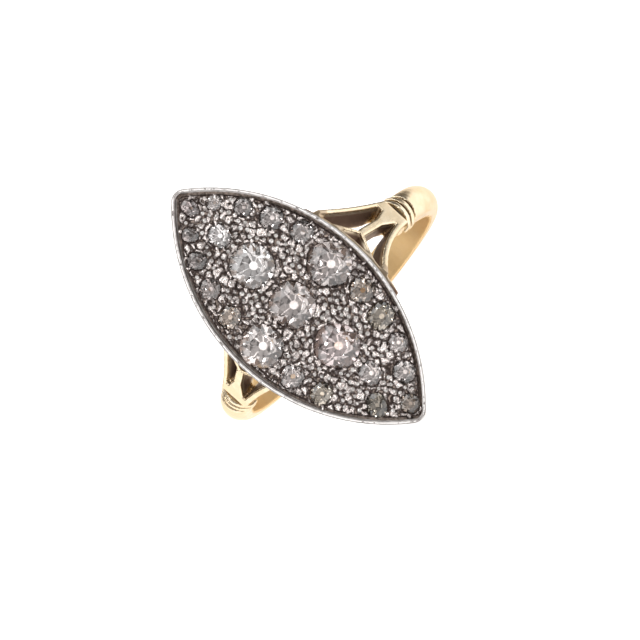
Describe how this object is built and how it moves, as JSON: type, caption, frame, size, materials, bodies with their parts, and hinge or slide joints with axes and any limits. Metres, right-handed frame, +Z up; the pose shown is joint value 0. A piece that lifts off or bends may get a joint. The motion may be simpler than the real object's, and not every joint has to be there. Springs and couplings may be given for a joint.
{
  "type": "ring",
  "caption": "Navette finger ring: old-cut clear stones pave-set in a pointed oval silver head, on a gold shank with split shoulders, lying on its side.",
  "frame": {"origin": "on the surface the ring lies on, under the middle of its bounding box", "axes": "+Z up; X across the head from shoulder to shoulder; -Y the way the head faces, tilted up by 27 degrees"},
  "size_m": [0.0206, 0.0252, 0.021],
  "materials": {
    "gold": "polished yellow gold, worn",
    "silver": "silver, polished on its edges and grains and dark with tarnish in its recesses",
    "stone": "clear faceted diamond"
  },
  "bodies": {
    "root": {"gold_mount": "gold", "silver_setting": "silver", "centre_stone": "stone", "top_stone": "stone", "bottom_stone": "stone", "left_stone": "stone", "right_stone": "stone", "small_stone_01": "stone", "small_stone_02": "stone", "small_stone_03": "stone", "small_stone_04": "stone", "small_stone_05": "stone", "small_stone_06": "stone", "small_stone_07": "stone", "small_stone_08": "stone", "small_stone_09": "stone", "small_stone_10": "stone", "small_stone_11": "stone", "small_stone_12": "stone", "small_stone_13": "stone", "small_stone_14": "stone", "small_stone_15": "stone", "small_stone_16": "stone", "small_stone_17": "stone", "small_stone_18": "stone", "small_stone_19": "stone"}
  },
  "joints": []
}
